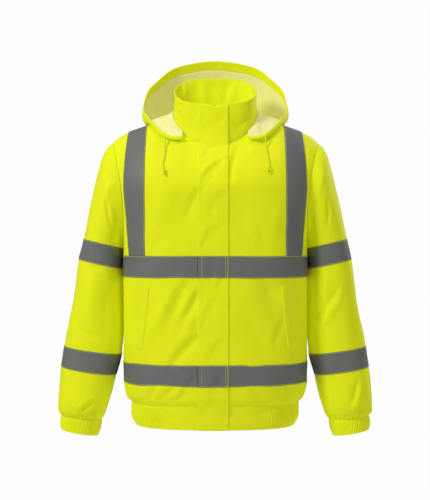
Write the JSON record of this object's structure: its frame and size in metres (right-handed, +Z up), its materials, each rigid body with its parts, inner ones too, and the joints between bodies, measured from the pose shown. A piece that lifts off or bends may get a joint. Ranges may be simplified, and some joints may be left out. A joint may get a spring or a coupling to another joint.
{
  "type": "hi-vis work jacket",
  "caption": "Fluorescent yellow hooded hi-vis work jacket with grey reflective tapes, storm flap and elasticated hem and cuffs, in its worn form.",
  "frame": {"origin": "centre line at mid depth, at the height of the point where the neck seam meets the shoulder, where the wearer's shoulders hold the jacket up", "axes": "+Z up, -Y to the front of the jacket, +X to the wearer's left"},
  "size_m": [0.749, 0.351, 0.9173],
  "materials": {
    "shell_yellow": "fluorescent yellow woven polyester, soft sheen",
    "reflective_tape": "grey retro-reflective glass-bead tape, satin",
    "lining_cream": "cream smooth woven lining",
    "zip": "yellow woven zip tape with moulded teeth",
    "drawcord": "yellow braided cord, matte"
  },
  "bodies": {
    "root": {"back": "shell_yellow", "brace_left": "reflective_tape", "brace_right": "reflective_tape", "collar": "shell_yellow", "cuff_left": "shell_yellow", "cuff_right": "shell_yellow", "drawcord_knot_left": "drawcord", "drawcord_knot_right": "drawcord", "drawcord_left": "drawcord", "drawcord_right": "drawcord", "front_left": "shell_yellow", "front_right": "shell_yellow", "hood_facing_left": "shell_yellow", "hood_facing_right": "shell_yellow", "hood_left": "shell_yellow", "hood_lining_left": "lining_cream", "hood_lining_right": "lining_cream", "hood_right": "shell_yellow", "lower_tape_back": "reflective_tape", "lower_tape_flap": "reflective_tape", "lower_tape_front_left": "reflective_tape", "lower_tape_front_right": "reflective_tape", "pocket_welt_left": "shell_yellow", "pocket_welt_right": "shell_yellow", "sleeve_left": "shell_yellow", "sleeve_right": "shell_yellow", "sleeve_tape_lower_left": "reflective_tape", "sleeve_tape_lower_right": "reflective_tape", "sleeve_tape_upper_left": "reflective_tape", "sleeve_tape_upper_right": "reflective_tape", "storm_flap": "shell_yellow", "waist_tape_back": "reflective_tape", "waist_tape_flap": "reflective_tape", "waist_tape_front_left": "reflective_tape", "waist_tape_front_right": "reflective_tape", "waistband_elastic": "shell_yellow", "waistband_front_left": "shell_yellow", "waistband_front_right": "shell_yellow", "zip": "zip"}
  },
  "joints": []
}
